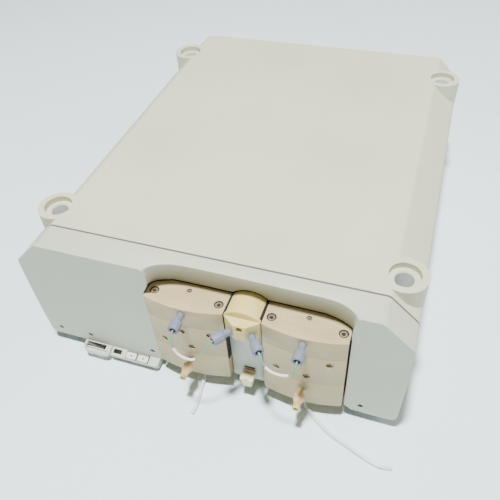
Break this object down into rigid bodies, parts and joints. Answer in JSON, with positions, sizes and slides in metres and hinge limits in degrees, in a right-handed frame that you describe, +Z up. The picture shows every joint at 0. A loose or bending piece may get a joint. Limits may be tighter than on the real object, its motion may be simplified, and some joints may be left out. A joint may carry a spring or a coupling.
{
  "type": "two-head piston chromatography pump",
  "caption": "Bench chromatography pump module with a low ivory case, corner stacking posts and beige piston pump heads in a front bay.",
  "frame": {"origin": "middle of the footprint at bench level, under the feet", "axes": "+X to the right of the front, +Y to the rear, +Z up; the front face looks along -Y"},
  "size_m": [0.3444, 0.4452, 0.138],
  "materials": {
    "housing": "fine-textured ivory moulding",
    "panel": "satin light grey",
    "sheet_steel": "zinc plated sheet",
    "rubber": "matt black",
    "screw_steel": "machined",
    "window": "dark smoked",
    "clear_hood": "clear acrylic",
    "cream": "satin cream",
    "stainless": "machined",
    "head_polymer": "machined beige polymer",
    "seal": "satin",
    "grey_fitting": "satin grey blue",
    "tan_fitting": "natural tan polymer",
    "green_tube": "translucent green",
    "white_sleeve": "shrink sleeve",
    "clear_tube": "clear soft tube",
    "aluminium_plate": "milled",
    "black_plastic": "satin black",
    "board": "solder mask",
    "connector_metal": "nickel plated",
    "sapphire": "polished"
  },
  "bodies": {
    "root": {"top_cover": "housing", "front_bezel": "housing", "base_pan": "sheet_steel", "rear_panel": "panel", "rubber_feet": "rubber", "housing_screws": "screw_steel", "centre_web": "panel", "control_strip": "housing", "status_window": "window", "splash_hood": "clear_hood", "centre_block": "cream", "transducer": "stainless", "outlet_block_a": "head_polymer", "outlet_block_b": "head_polymer", "chamber_block_a": "head_polymer", "chamber_block_b": "head_polymer", "inlet_block_a": "head_polymer", "inlet_block_b": "head_polymer", "cap_screws": "screw_steel", "bleed_screws": "screw_steel", "chamber_screws": "screw_steel", "check_valves": "stainless", "piston_seals": "seal", "outlet_fittings": "grey_fitting", "inlet_fittings": "tan_fitting", "rinse_barbs": "rubber", "loop_tube_a": "green_tube", "loop_tube_b": "green_tube", "loop_sleeves": "white_sleeve", "rinse_tube_a": "clear_tube", "rinse_tube_b": "clear_tube", "head_plate": "aluminium_plate", "cam_frames": "aluminium_plate", "shaft_bearings": "stainless", "stepper_motors": "black_plastic", "drive_belts": "rubber", "return_springs": "stainless", "control_board": "board", "power_supply": "sheet_steel", "fan_frame": "black_plastic", "power_inlet": "black_plastic", "rear_connectors": "connector_metal"},
    "cam_a": {"camshaft_a": "stainless"},
    "cam_b": {"camshaft_b": "stainless"},
    "motor_a": {"motor_pulley_a": "stainless"},
    "motor_b": {"motor_pulley_b": "stainless"},
    "plunger_a1": {"carrier_a1": "stainless", "piston_a1": "sapphire"},
    "plunger_a2": {"carrier_a2": "stainless", "piston_a2": "sapphire"},
    "plunger_b1": {"carrier_b1": "stainless", "piston_b1": "sapphire"},
    "plunger_b2": {"carrier_b2": "stainless", "piston_b2": "sapphire"},
    "fan": {"fan_rotor": "black_plastic"},
    "fuse": {"fuse_drawer": "black_plastic"},
    "rocker": {"power_rocker": "black_plastic"},
    "key_left": {"left_key": "cream"},
    "key_right": {"right_key": "cream"},
    "lever": {"purge_lever": "cream"}
  },
  "joints": [
    {"name": "plunger_a1_slide", "type": "slide", "parent": "root", "child": "plunger_a1", "axis": [0, 1, 0], "range_m": [-0.00333, 0.00333]},
    {"name": "plunger_a2_slide", "type": "slide", "parent": "root", "child": "plunger_a2", "axis": [0, 1, 0], "range_m": [-0.0034, 0.0034]},
    {"name": "cam_a_turn", "type": "hinge", "parent": "root", "child": "cam_a", "pos_m": [-0.0126, -0.1035, 0.069], "axis": [1, 0, 0], "range_deg": [-75, 75]},
    {"name": "motor_a_turn", "type": "hinge", "parent": "root", "child": "motor_a", "pos_m": [-0.0126, -0.0335, 0.069], "axis": [1, 0, 0], "range_deg": [-151, 151]},
    {"name": "plunger_b1_slide", "type": "slide", "parent": "root", "child": "plunger_b1", "axis": [0, 1, 0], "range_m": [-0.00333, 0.00333]},
    {"name": "plunger_b2_slide", "type": "slide", "parent": "root", "child": "plunger_b2", "axis": [0, 1, 0], "range_m": [-0.0034, 0.0034]},
    {"name": "cam_b_turn", "type": "hinge", "parent": "root", "child": "cam_b", "pos_m": [0.0886, -0.1035, 0.069], "axis": [1, 0, 0], "range_deg": [-75, 75]},
    {"name": "motor_b_turn", "type": "hinge", "parent": "root", "child": "motor_b", "pos_m": [0.0886, -0.0335, 0.069], "axis": [1, 0, 0], "range_deg": [-151, 151]},
    {"name": "fan_spin", "type": "hinge", "parent": "root", "child": "fan", "pos_m": [-0.112, 0.2005, 0.068], "axis": [0, 1, 0], "continuous": true},
    {"name": "fuse_drawer_pull", "type": "slide", "parent": "root", "child": "fuse", "axis": [0, 1, 0], "range_m": [0, 0.012]},
    {"name": "power_rocker_tilt", "type": "hinge", "parent": "root", "child": "rocker", "pos_m": [-0.1185, -0.1926, 0.0077], "axis": [0, 1, 0], "range_deg": [-12, 0]},
    {"name": "left_key_press", "type": "slide", "parent": "root", "child": "key_left", "axis": [0, 0, -1], "range_m": [0, 0.0008], "stiffness_N_per_m": 300},
    {"name": "right_key_press", "type": "slide", "parent": "root", "child": "key_right", "axis": [0, 0, -1], "range_m": [0, 0.0008], "stiffness_N_per_m": 300},
    {"name": "purge_lever_turn", "type": "hinge", "parent": "root", "child": "lever", "pos_m": [0.0385, -0.1895, 0.023], "axis": [0, -1, 0], "range_deg": [0, 90]}
  ],
  "couplings": [
    {"joint": "plunger_a2_slide", "follows": "plunger_a1_slide", "ratio": -1},
    {"joint": "cam_a_turn", "follows": "plunger_a1_slide", "rad_per_m": 392.7},
    {"joint": "motor_a_turn", "follows": "plunger_a1_slide", "rad_per_m": 785.4},
    {"joint": "plunger_b2_slide", "follows": "plunger_b1_slide", "ratio": -1},
    {"joint": "cam_b_turn", "follows": "plunger_b1_slide", "rad_per_m": 392.7},
    {"joint": "motor_b_turn", "follows": "plunger_b1_slide", "rad_per_m": 785.4}
  ]
}
